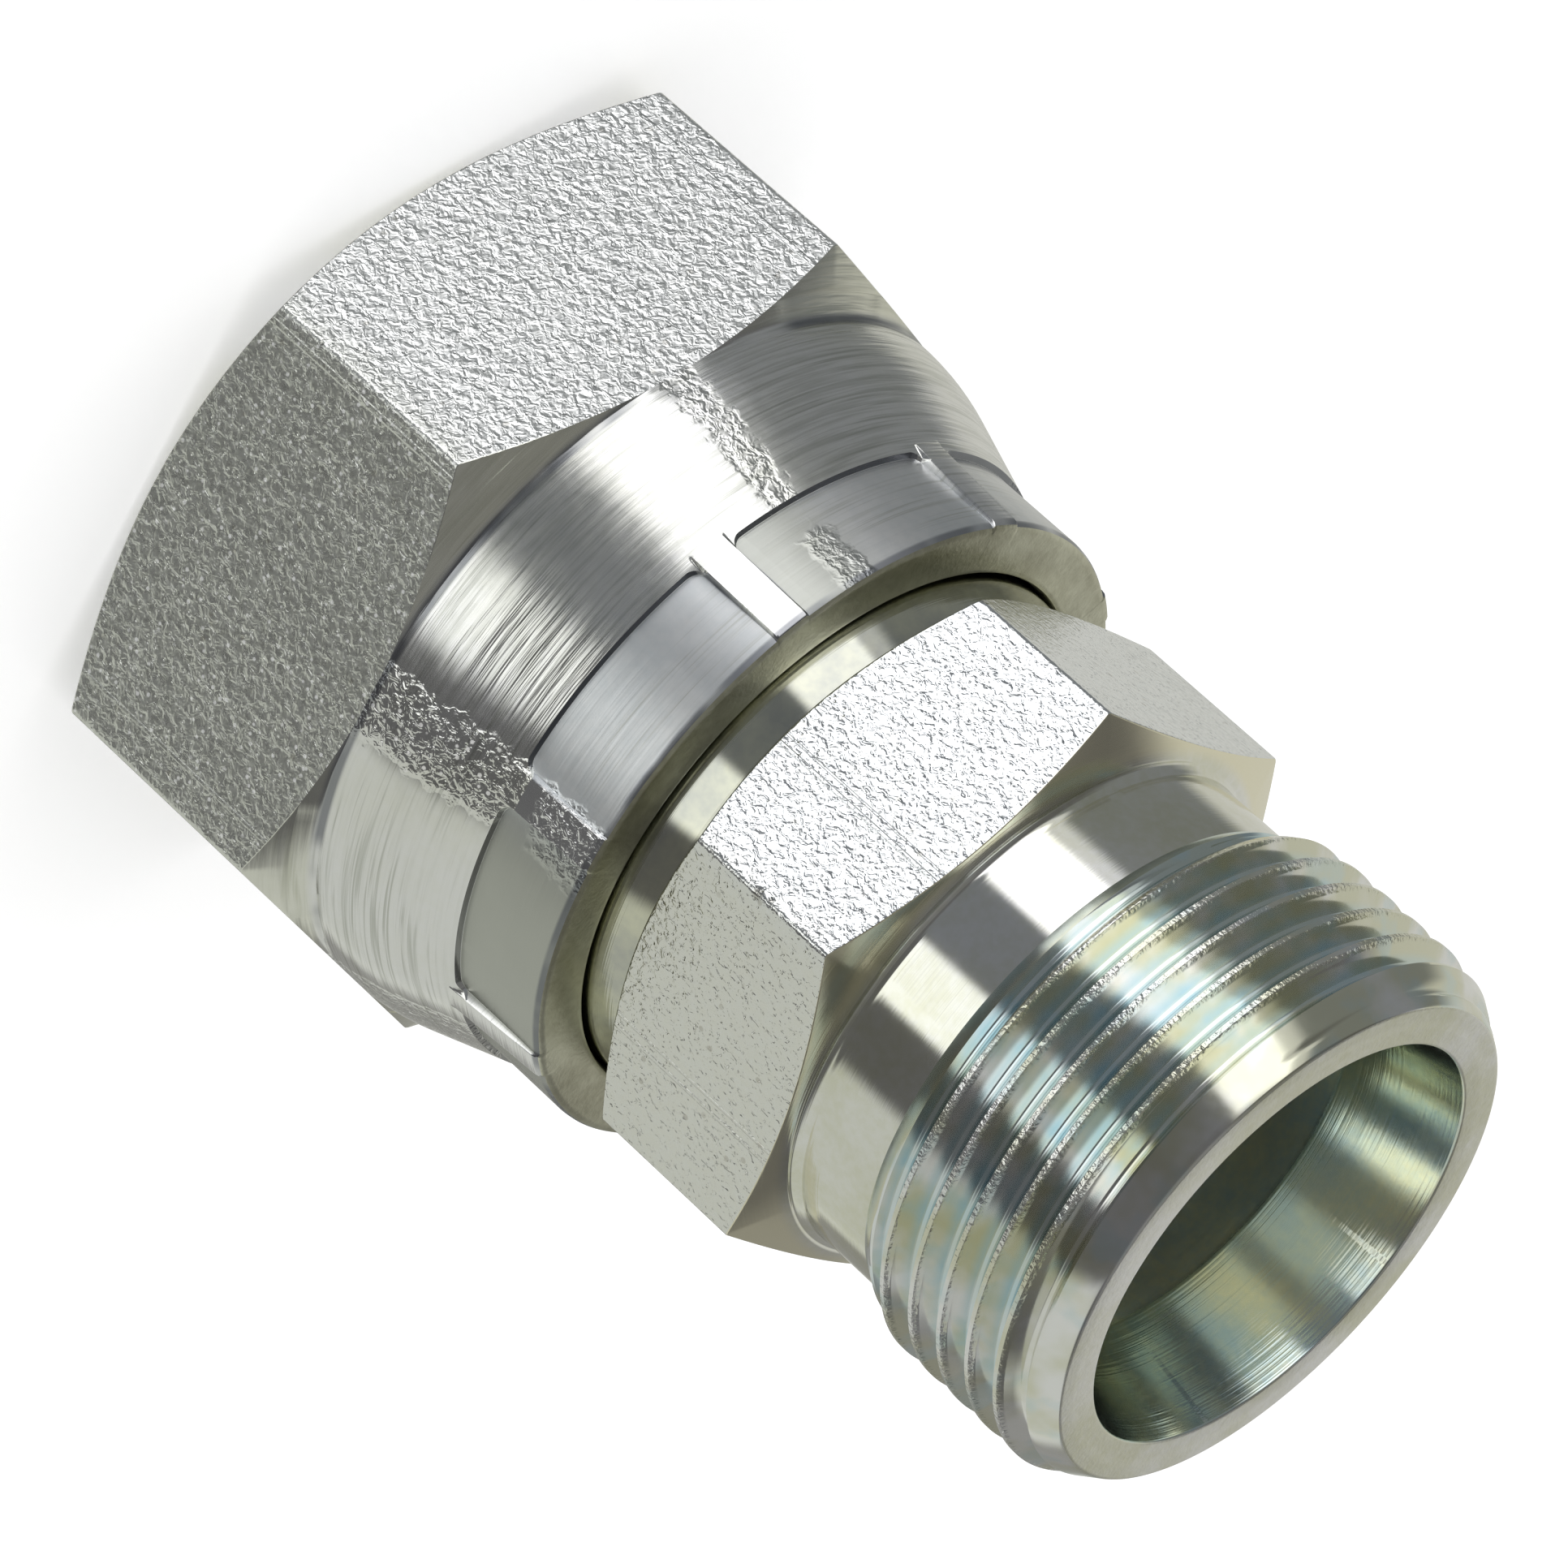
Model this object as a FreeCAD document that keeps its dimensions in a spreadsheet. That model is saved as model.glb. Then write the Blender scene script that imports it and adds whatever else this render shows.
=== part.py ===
# Straight hydraulic adapter with a swivel nut, in millimetres.
#
# The fitting stands on the open end of its nut, with its axis on Z and the origin in the middle of the
# nut's end face. The body is one turned piece: a flared seat and head inside the nut, a neck, a hexagon,
# an undercut and a male thread with a 24 degree cone. The nut is one piece turned from hexagon bar, and
# its collar is crimped over the body's head by a ring of jaws. Both threads are plain cylinders here:
# the male one at its outer diameter, the female one at its bore.
import FreeCAD, Part
import math
import os
import re
import Sketcher

# Driving sizes: alias, value (mm, or degrees where the name says angle or turn) and meaning.
SIZES = [
    ("overall_length", 48.2, "nut end face to thread end face"),
    ("nut_width", 32.0, "across the flats of the nut"),
    ("nut_length", 23.7, "nut end face to the crimped rim"),
    ("nut_turn", -16.4, "resting angle of the nut against the body's hexagon"),
    ("nut_corner_radius", 0.35, "rounding along the nut's six corners"),
    ("nut_face_diameter", 30.5, "flat of the nut's open end"),
    ("nut_chamfer_angle", 30.0, "slope of the nut's chamfers from its end plane"),
    ("nut_mouth_diameter", 27.4, "countersink at the mouth of the female thread"),
    ("nut_thread_bore", 24.9, "bore of the 1 1/16 inch 12 thread"),
    ("nut_thread_end", 11.4, "end of the female thread, from the nut's face"),
    ("nut_relief_diameter", 27.2, "chamber that holds the body's head"),
    ("chamber_end", 15.7, "height at which the chamber starts to close in"),
    ("collar_diameter", 32.1, "turned collar before it was crimped"),
    ("collar_start", 13.1, "height at which the collar leaves the chamfer"),
    ("crimp_bend_radius", 9.0, "outer bend of the crimped collar"),
    ("crimp_angle", 18.4, "slope of the crimped collar from the axis"),
    ("rib_diameter", 29.2, "top of the ribs that the jaws leave, where they start"),
    ("rib_rim_diameter", 28.64, "top of the ribs at the rim, where they have almost run out"),
    ("rim_inner_diameter", 24.0, "hole in the rim"),
    ("rim_edge_chamfer", 0.3, "break of the rim's outer edge"),
    ("imprint_diameter", 28.44, "across the jaws' imprints"),
    ("imprint_step", 0.26, "depth of the crisp edge behind an imprint"),
    ("imprint_angle", 39.0, "width of one jaw's imprint"),
    ("imprint_turn", 6.1, "middle of the first imprint, from a corner of the nut"),
    ("imprint_count", 8, "number of jaws"),
    ("head_front", 12.0, "height of the head's front face"),
    ("head_clearance", 0.08, "radial running clearance of the head in the chamber"),
    ("shoulder_clearance", 0.3, "radial clearance between the shoulder and the crimp"),
    ("shoulder_length", 3.5, "length of the sloping shoulder behind the head"),
    ("seat_diameter", 23.2, "mouth of the flared seat"),
    ("seat_angle", 37.0, "slope of the flared seat from the axis"),
    ("rear_bore", 15.5, "bore behind the seat"),
    ("rear_bore_length", 14.0, "head's front face to the end of the rear bore"),
    ("rim_clearance", 0.15, "radial clearance of the rear neck in the rim"),
    ("neck_taper_length", 1.4, "length of the rear neck's taper before the hexagon"),
    ("neck_taper_angle", 12.0, "slope of that taper from the axis"),
    ("hex_width", 24.0, "across the flats of the body"),
    ("hex_corner_radius", 0.3, "rounding along the body's six corners"),
    ("hex_back", 25.3, "height of the hexagon's back face"),
    ("hex_length", 9.0, "length of the hexagon"),
    ("hex_back_diameter", 23.4, "flat of the hexagon's back face"),
    ("hex_back_angle", 30.0, "slope of the back chamfer from the end plane"),
    ("hex_front_diameter", 22.9, "flat of the hexagon's front face"),
    ("hex_front_angle", 21.0, "slope of the front chamfer from the end plane"),
    ("neck_cone_length", 0.25, "small 45 degree cone between the hexagon and the undercut"),
    ("undercut_diameter", 22.1, "undercut behind the male thread"),
    ("undercut_length", 3.75, "hexagon to the start of the thread's lead"),
    ("thread_diameter", 24.0, "outer diameter of the M24 x 1.5 thread"),
    ("thread_lead_angle", 30.0, "slope of the thread's lead out of the undercut"),
    ("end_face_diameter", 21.7, "outer edge of the end face"),
    ("end_chamfer_length", 1.8, "length of the thread's front chamfer"),
    ("cone_mouth_diameter", 18.3, "mouth of the 24 degree cone"),
    ("cone_half_angle", 12.0, "slope of the cone from the axis"),
    ("tube_bore", 16.2, "socket for a 16 mm tube"),
    ("tube_stop_depth", 8.5, "end face to the tube stop"),
    ("through_bore", 12.0, "flow bore"),
    ("drill_point_angle", 59.0, "half angle of the drill's point"),
]
NAMES = {alias for alias, value, meaning in SIZES}

# The direction in a half section's own frame that lies along the fitting's axis.
SKETCH_UP = FreeCAD.Vector(0, 1, 0)
# Share of a hexagon's width that lies outside its corners, which are 0.577 of the width from its axis.
BEYOND_CORNERS = 0.65


def on_sheet(text):
    """The expression with the sheet's name before each alias."""
    return re.sub(r"[a-z_]+", lambda word: ("Sizes." if word.group() in NAMES else "") + word.group(), text)


def make_sheet(doc):
    """Puts the driving sizes in a spreadsheet: meaning, value and alias on one row each."""
    sheet = doc.addObject("Spreadsheet::Sheet", "Sizes")
    for row, (alias, value, meaning) in enumerate(SIZES, start=1):
        sheet.set(f"A{row}", meaning)
        sheet.set(f"B{row}", str(value))
        sheet.setAlias(f"B{row}", alias)
    doc.recompute()
    return sheet


def origin_feature(body, role):
    """One of the body's own planes or axes."""
    return next(feature for feature in body.Origin.OriginFeatures if feature.Role == role)


def arc_through(start, end, radius, side):
    """The short arc between two points. side is 1 where its centre lies left of the way from start to end."""
    chord = end - start
    middle = start + chord * 0.5
    left = FreeCAD.Vector(-chord.y, chord.x, 0).normalize()
    reach = math.sqrt(max(radius ** 2 - (chord.Length / 2) ** 2, 0))
    centre = middle + left * (side * reach)
    return Part.Arc(start, centre - left * (side * radius), end)


def place_corner(sketch, segment, end, values, texts):
    """Holds one corner at its radius and height with two driven dimensions."""
    for kind, axis, value, text in zip(("DistanceX", "DistanceY"), (-2, -1), values, texts):
        if abs(value) < 1e-9:
            sketch.addConstraint(Sketcher.Constraint("PointOnObject", segment, end, axis))
        else:
            index = sketch.addConstraint(Sketcher.Constraint(kind, -1, 1, segment, end, value))
            sketch.setExpression(f"Constraints[{index}]", on_sheet(text))


def half_section(body, name, *outlines):
    """A sketch in the XZ plane with closed outlines of corners, each (radius, height) in words of the sheet.

    A corner with a third and fourth entry is reached by an arc of that radius, centred on that side.
    """
    sketch = body.newObject("Sketcher::SketchObject", name)
    sketch.AttachmentSupport = (origin_feature(body, "XZ_Plane"), "")
    sketch.MapMode = "FlatFace"
    for corners in outlines:
        add_outline(sketch, corners)
    return sketch


def present_value(sketch, text):
    """What an expression in words of the sheet is worth now."""
    return float(sketch.evalExpression(on_sheet(text)))


def add_outline(sketch, corners):
    """Adds one closed outline to a sketch and ties its corners to the sheet."""
    points = [
        FreeCAD.Vector(present_value(sketch, corner[0]), present_value(sketch, corner[1]), 0)
        for corner in corners
    ]
    count = len(corners)
    ends = []
    for index, start in enumerate(points):
        following = corners[(index + 1) % count]
        stop = points[(index + 1) % count]
        if len(following) == 2:
            segment = sketch.addGeometry(Part.LineSegment(start, stop))
        else:
            radius = present_value(sketch, following[2])
            segment = sketch.addGeometry(arc_through(start, stop, radius, following[3]))
            index_of_radius = sketch.addConstraint(Sketcher.Constraint("Radius", segment, radius))
            sketch.setExpression(f"Constraints[{index_of_radius}]", on_sheet(following[2]))
        forwards = sketch.getPoint(segment, 1).isEqual(start, 1e-6)
        ends.append((segment, 1, 2) if forwards else (segment, 2, 1))
    for index, (segment, first, last) in enumerate(ends):
        place_corner(sketch, segment, first, (points[index].x, points[index].y), corners[index][:2])
        after, after_first, after_last = ends[(index + 1) % count]
        sketch.addConstraint(Sketcher.Constraint("Coincident", segment, last, after, after_first))


def turn(body, kind, name, sketch):
    """Revolves a half section about Z, as a Revolution that adds or a Groove that cuts."""
    feature = body.newObject("PartDesign::" + kind, name)
    feature.Profile = sketch
    feature.ReferenceAxis = (sketch, ["V_Axis"])
    feature.Angle = 360
    sketch.Visibility = False
    return feature


def hexagon_bar(body, width, bottom, length, corner_radius):
    """A length of hexagon bar with a corner on +X and its six long edges rounded."""
    bar = body.newObject("PartDesign::AdditivePrism", body.Name + "_bar")
    bar.AttachmentSupport = (origin_feature(body, "XY_Plane"), "")
    bar.MapMode = "FlatFace"
    bar.Polygon = 6
    bar.setExpression("Circumradius", on_sheet(f"{width} / sqrt(3)"))
    bar.setExpression("Height", on_sheet(length))
    bar.setExpression("AttachmentOffset.Base.z", on_sheet(bottom))
    body.Document.recompute()
    upright = [
        f"Edge{number}"
        for number, edge in enumerate(bar.Shape.Edges, start=1)
        if edge.BoundBox.ZLength > 0.5 * bar.Shape.BoundBox.ZLength
    ]
    rounding = body.newObject("PartDesign::Fillet", body.Name + "_corners")
    rounding.Base = (bar, upright)
    rounding.setExpression("Radius", on_sheet(corner_radius))
    return rounding


def make_swivel_nut(doc):
    """The nut: bar, turned collar with its crimp, chamfered open end, stepped bore and the jaws' imprints."""
    nut = doc.addObject("PartDesign::Body", "swivel_nut")
    hexagon_bar(nut, "nut_width", "0", "nut_length", "nut_corner_radius")

    outside = f"(nut_width * {BEYOND_CORNERS})"
    chamfer = "tan(nut_chamfer_angle * 1deg)"
    slope = "tan(crimp_angle * 1deg)"
    # The collar's bend runs into its straight slope here, and the slope into the ribs at their height.
    bend_radius = "(collar_diameter / 2 - crimp_bend_radius * (1 - cos(crimp_angle * 1deg)))"
    bend_height = "(collar_start + crimp_bend_radius * sin(crimp_angle * 1deg))"
    rib_height = f"{bend_height} + ({bend_radius} - rib_diameter / 2) / {slope}"
    collar = half_section(nut, "collar_section", [
        (outside, f"collar_start - ({outside} - collar_diameter / 2) * {chamfer}"),
        ("collar_diameter / 2", "collar_start"),
        (bend_radius, bend_height, "crimp_bend_radius", 1),
        ("rib_diameter / 2", rib_height),
        ("rib_rim_diameter / 2", "nut_length - rim_edge_chamfer"),
        ("rib_rim_diameter / 2 - rim_edge_chamfer", "nut_length"),
        (outside, "nut_length"),
    ])
    turn(nut, "Groove", "turned_collar", collar)

    open_end = half_section(nut, "open_end_section", [
        ("nut_face_diameter / 2", "0"),
        (outside, "0"),
        (outside, f"({outside} - nut_face_diameter / 2) * {chamfer}"),
    ])
    turn(nut, "Groove", "open_end_chamfer", open_end)

    closing = f"(nut_relief_diameter - rim_inner_diameter) / 2 / {slope}"
    bore = half_section(nut, "nut_bore_section", [
        ("0", "0"),
        ("nut_mouth_diameter / 2", "0"),
        ("nut_thread_bore / 2", "(nut_mouth_diameter - nut_thread_bore) / 2"),
        ("nut_thread_bore / 2", "nut_thread_end"),
        ("nut_relief_diameter / 2", "nut_thread_end"),
        ("nut_relief_diameter / 2", "chamber_end"),
        ("rim_inner_diameter / 2", f"chamber_end + {closing}"),
        ("rim_inner_diameter / 2", "nut_length"),
        ("0", "nut_length"),
    ])
    turn(nut, "Groove", "nut_bore", bore)

    edge = "(imprint_diameter / 2 + imprint_step)"
    edge_height = f"{bend_height} + ({bend_radius} - {edge}) / {slope}"
    imprint = half_section(nut, "imprint_section", [
        ("collar_diameter / 2", rib_height),
        ("rib_diameter / 2", rib_height),
        (edge, edge_height),
        ("imprint_diameter / 2", edge_height),
        ("imprint_diameter / 2", "nut_length - rim_edge_chamfer"),
        ("imprint_diameter / 2 - rim_edge_chamfer", "nut_length"),
        ("collar_diameter / 2", "nut_length"),
    ])
    imprint.AttachmentOffset = FreeCAD.Placement(FreeCAD.Vector(), FreeCAD.Rotation(SKETCH_UP, 1))
    imprint.setExpression("AttachmentOffset.Rotation.Angle", on_sheet("imprint_turn"))
    press = turn(nut, "Groove", "jaw_imprint", imprint)
    press.Midplane = True
    press.setExpression("Angle", on_sheet("imprint_angle"))
    ring = nut.newObject("PartDesign::PolarPattern", "jaw_imprints")
    ring.Originals = [press]
    ring.Axis = (origin_feature(nut, "Z_Axis"), [""])
    ring.Angle = 360
    ring.setExpression("Occurrences", on_sheet("imprint_count"))
    nut.Tip = ring
    nut.setExpression("Placement.Rotation.Angle", on_sheet("nut_turn"))
    return nut


def make_fitting_body(doc):
    """The body: chamfered hexagon with the turned head, necks and thread on it, bored through."""
    fitting = doc.addObject("PartDesign::Body", "fitting_body")
    hexagon_bar(fitting, "hex_width", "hex_back", "hex_length", "hex_corner_radius")

    back = "tan(hex_back_angle * 1deg)"
    front = "tan(hex_front_angle * 1deg)"
    outside = f"(hex_width * {BEYOND_CORNERS})"
    hex_front = "(hex_back + hex_length)"
    chamfers = half_section(
        fitting, "hexagon_chamfer_section",
        [
            ("hex_back_diameter / 2", "hex_back"),
            (outside, "hex_back"),
            (outside, f"hex_back + ({outside} - hex_back_diameter / 2) * {back}"),
        ],
        [
            ("hex_front_diameter / 2", hex_front),
            (outside, f"{hex_front} - ({outside} - hex_front_diameter / 2) * {front}"),
            (outside, hex_front),
        ],
    )
    turn(fitting, "Groove", "hexagon_chamfers", chamfers)

    head = "(nut_relief_diameter / 2 - head_clearance)"
    slope = "tan(crimp_angle * 1deg)"
    head_back = f"(chamber_end - (shoulder_clearance - head_clearance) / {slope})"
    shoulder = f"({head} - shoulder_length * {slope})"
    neck = "(rim_inner_diameter / 2 - rim_clearance)"
    neck_end = f"({neck} - neck_taper_length * tan(neck_taper_angle * 1deg))"
    undercut_end = f"({hex_front} + undercut_length)"
    outline = half_section(fitting, "turned_section", [
        ("0", "head_front"),
        (head, "head_front"),
        (head, head_back),
        (shoulder, f"{head_back} + shoulder_length"),
        (neck, f"{head_back} + shoulder_length + {shoulder} - {neck}"),
        (neck, "hex_back - neck_taper_length"),
        (neck_end, "hex_back"),
        (neck_end, "hex_back + hex_length / 2"),
        ("undercut_diameter / 2 + neck_cone_length", "hex_back + hex_length / 2"),
        ("undercut_diameter / 2 + neck_cone_length", hex_front),
        ("undercut_diameter / 2", f"{hex_front} + neck_cone_length"),
        ("undercut_diameter / 2", undercut_end),
        (
            "thread_diameter / 2",
            f"{undercut_end} + (thread_diameter - undercut_diameter) / 2 / tan(thread_lead_angle * 1deg)",
        ),
        ("thread_diameter / 2", "overall_length - end_chamfer_length"),
        ("end_face_diameter / 2", "overall_length"),
        ("0", "overall_length"),
    ])
    turn(fitting, "Revolution", "turned_ends", outline)

    cone_depth = "(cone_mouth_diameter - tube_bore) / 2 / tan(cone_half_angle * 1deg)"
    seat_depth = "(seat_diameter - rear_bore) / 2 / tan(seat_angle * 1deg)"
    point = "(rear_bore - through_bore) / 2 / tan(drill_point_angle * 1deg)"
    bore = half_section(fitting, "body_bore_section", [
        ("0", "head_front"),
        ("seat_diameter / 2", "head_front"),
        ("rear_bore / 2", f"head_front + {seat_depth}"),
        ("rear_bore / 2", "head_front + rear_bore_length"),
        ("through_bore / 2", f"head_front + rear_bore_length + {point}"),
        ("through_bore / 2", "overall_length - tube_stop_depth"),
        ("tube_bore / 2", "overall_length - tube_stop_depth"),
        ("tube_bore / 2", f"overall_length - {cone_depth}"),
        ("cone_mouth_diameter / 2", "overall_length"),
        ("0", "overall_length"),
    ])
    turn(fitting, "Groove", "body_bore", bore)
    return fitting


def check_document(doc, parts):
    """Stops the build if any object failed or any piece isn't one sound solid."""
    for item in doc.Objects:
        if "Invalid" in item.State or "Error" in item.State:
            raise RuntimeError(f"{item.Name} failed: {item.State}")
    for piece in parts:
        shape = piece.Shape
        if shape.isNull() or not shape.isValid() or len(shape.Solids) != 1:
            raise RuntimeError(f"{piece.Name} isn't one valid solid")


def main():
    """Builds the document and writes each piece to parts."""
    doc = FreeCAD.newDocument("hydraulic_fitting")
    make_sheet(doc)
    parts = [make_fitting_body(doc), make_swivel_nut(doc)]
    doc.recompute()
    check_document(doc, parts)
    os.makedirs("parts", exist_ok=True)
    for piece in parts:
        piece.Shape.exportStep(f"parts/{piece.Label}.step")
        size = piece.Shape.BoundBox
        print(
            f"{piece.Label}: {piece.Shape.Volume:.1f} mm3, "
            f"{size.XLength:.2f} x {size.YLength:.2f} x {size.ZLength:.2f} mm, from z {size.ZMin:.2f}"
        )


main()
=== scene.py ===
"""A straight hydraulic adapter in bright zinc-plated steel, dressed around its packed solids.

The adapter stands on the open end of its swivel nut with its axis on Z. Both pieces are surfaces
carried round that axis: a profile of radius and height whose corners may depend on the angle, which
gives the hexagons, their chamfers and the jaws' imprints, and rows that climb with the angle, which
give both threads.
"""

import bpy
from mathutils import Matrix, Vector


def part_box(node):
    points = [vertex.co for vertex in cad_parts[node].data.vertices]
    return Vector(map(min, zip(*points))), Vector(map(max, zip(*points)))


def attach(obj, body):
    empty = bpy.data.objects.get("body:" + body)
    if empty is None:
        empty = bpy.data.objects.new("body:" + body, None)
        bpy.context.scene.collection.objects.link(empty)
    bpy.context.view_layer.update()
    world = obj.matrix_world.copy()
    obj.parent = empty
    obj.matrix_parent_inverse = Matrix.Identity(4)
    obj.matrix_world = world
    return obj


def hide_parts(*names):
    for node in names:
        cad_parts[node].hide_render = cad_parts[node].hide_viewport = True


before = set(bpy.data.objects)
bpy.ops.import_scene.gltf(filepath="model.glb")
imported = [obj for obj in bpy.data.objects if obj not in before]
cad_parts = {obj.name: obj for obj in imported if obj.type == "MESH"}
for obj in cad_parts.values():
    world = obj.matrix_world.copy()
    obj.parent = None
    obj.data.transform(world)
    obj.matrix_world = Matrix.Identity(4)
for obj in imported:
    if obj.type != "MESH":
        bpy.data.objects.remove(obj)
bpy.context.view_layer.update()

import math
from collections import namedtuple

import bmesh
import bpy
import numpy as np
from bpy.props import FloatProperty, FloatVectorProperty, IntProperty, PointerProperty
from mathutils import Quaternion, Vector

bl_info = {
    "name": "Hydraulic adapter",
    "version": (1, 0, 0),
    "blender": (4, 5, 0),
    "location": "View3D > Sidebar > Adapter",
    "description": "Dresses a hydraulic adapter and its swivel nut in zinc plate and sets up the studio",
    "category": "Object",
}

MM = 0.001
BODY_LOW, BODY_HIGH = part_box("fitting_body")
NUT_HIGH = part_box("swivel_nut")[1]


def length(name, millimetres, description):
    """A size that the user types in the scene's unit; its default is given in millimetres."""
    return FloatProperty(
        name=name, description=description, default=millimetres * MM, min=0.0, unit="LENGTH", precision=5
    )


def angle(name, degrees, description):
    """An angle, with its default in degrees."""
    return FloatProperty(name=name, description=description, default=math.radians(degrees), subtype="ANGLE")


def colour(name, red, green, blue, description):
    """A colour with its default."""
    return FloatVectorProperty(
        name=name, description=description, default=(red, green, blue), min=0.0, max=1.0, subtype="COLOR"
    )


class BodySizes(bpy.types.PropertyGroup):
    """Sizes of the turned body with its hexagon and male thread."""

    hexagon_width: length("Hexagon width", 24.0, "Across the flats of the body's hexagon")
    hexagon_back: length("Hexagon start", 25.3, "Height of the hexagon's back face")
    hexagon_length: length("Hexagon length", 9.0, "Length of the hexagon")
    hexagon_corner: length("Hexagon corner", 0.25, "Rounding along the hexagon's corners")
    back_face: length("Back face", 23.4, "Diameter of the flat on the hexagon's back face")
    front_face: length("Front face", 22.9, "Diameter of the flat on the hexagon's front face")
    back_slope: angle("Back chamfer", 30.0, "Slope of the back chamfer from the end plane")
    front_slope: angle("Front chamfer", 21.0, "Slope of the front chamfer from the end plane")
    rear_neck: length("Rear neck", 23.7, "Diameter of the neck that passes the crimped rim")
    taper_length: length("Neck taper length", 1.4, "Length of that neck's taper before the hexagon")
    taper_slope: angle("Neck taper", 12.0, "Slope of that taper from the axis")
    undercut: length("Undercut", 22.1, "Diameter of the undercut behind the thread")
    undercut_length: length("Undercut length", 3.75, "Hexagon to the start of the thread's lead")
    neck_fillet: length("Neck fillet", 0.25, "Fillet between the hexagon and the undercut")
    thread: length("Thread", 24.0, "Outside diameter of the male thread")
    pitch: length("Pitch", 1.5, "Pitch of the male thread")
    crest: length("Crest width", 0.19, "Flat on top of the thread")
    thread_turn: angle("Thread turn", 192.0, "Angle by which the thread's start is turned")
    lead_slope: angle("Thread lead", 30.0, "Slope of the thread's lead out of the undercut")
    end_face: length("End face", 21.7, "Outside diameter of the end face")
    end_chamfer: length("End chamfer", 1.8, "Length of the thread's front chamfer")
    cone_mouth: length("Cone mouth", 18.3, "Mouth of the 24 degree cone")
    cone_slope: angle("Cone", 12.0, "Slope of the cone from the axis")
    tube_bore: length("Tube bore", 16.2, "Socket for the tube")
    tube_stop: length("Tube stop", 8.5, "End face to the tube stop")
    flow_bore: length("Flow bore", 12.0, "Through bore")
    rear_bore: length("Rear bore", 15.5, "Bore behind the flared seat")
    rear_bore_length: length("Rear bore length", 14.0, "Head's front face to the end of the rear bore")
    seat_mouth: length("Seat mouth", 23.2, "Mouth of the flared seat")
    seat_slope: angle("Seat", 37.0, "Slope of the flared seat from the axis")
    head: length("Head", 27.04, "Diameter of the head inside the nut")
    head_length: length("Head length", 3.04, "Length of the head's cylinder")
    shoulder_length: length("Shoulder", 3.5, "Length of the sloping shoulder behind the head")
    shoulder_slope: angle("Shoulder slope", 18.4, "Slope of the shoulder from the axis")


class NutSizes(bpy.types.PropertyGroup):
    """Sizes of the swivel nut with its crimped collar and female thread."""

    width: length("Nut width", 32.0, "Across the flats of the nut")
    corner: length("Nut corner", 0.3, "Rounding along the nut's corners")
    turn: angle("Nut turn", -16.4, "Resting angle of the nut against the body's hexagon")
    face: length("Nut face", 30.5, "Diameter of the flat on the nut's open end")
    chamfer_slope: angle("Nut chamfer", 30.0, "Slope of the nut's chamfers from its end plane")
    mouth: length("Mouth", 27.4, "Countersink at the mouth of the female thread")
    bore: length("Thread bore", 24.9, "Bore of the female thread")
    root: length("Thread root", 26.99, "Root diameter of the female thread")
    pitch: length("Nut pitch", 2.117, "Pitch of the female thread")
    thread_end: length("Thread end", 11.4, "End of the female thread from the nut's face")
    chamber: length("Chamber", 27.2, "Diameter of the chamber for the body's head")
    chamber_end: length("Chamber end", 15.7, "Height at which the chamber starts to close in")
    collar: length("Collar", 32.1, "Diameter of the collar before it was crimped")
    collar_start: length("Collar start", 13.1, "Height at which the collar leaves the chamfer")
    bend: length("Crimp bend", 9.0, "Outside bend of the crimped collar")
    crimp_slope: angle("Crimp slope", 18.4, "Slope of the crimped collar from the axis")
    chamfer_ring: length("Chamfer ring", 33.8, "Diameter of the fine turned step on the collar's chamfer")
    ring_depth: length("Ring depth", 0.06, "Height of that step")
    rib: length("Ribs", 29.2, "Diameter over the ribs where they leave the crimped slope")
    rib_rim: length("Ribs at the rim", 28.64, "Diameter over the ribs at the rim")
    imprint: length("Imprints", 28.44, "Diameter across the jaws' imprints")
    imprint_step: length("Imprint step", 0.26, "Depth of the crisp edge behind an imprint")
    imprint_width: angle("Imprint width", 39.0, "Angle that one jaw's imprint takes")
    imprint_turn: angle("Imprint turn", 6.1, "Middle of the first imprint from a corner of the nut")
    imprint_corner: length("Imprint corner", 0.55, "Rounding of the corners behind an imprint")
    imprint_count: IntProperty(name="Imprints", description="Number of jaws", default=8, min=1)
    rim_bore: length("Rim bore", 24.0, "Hole in the rim")
    rim_edge: length("Rim edge", 0.38, "Rounding of the rim's outer edge")


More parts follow.
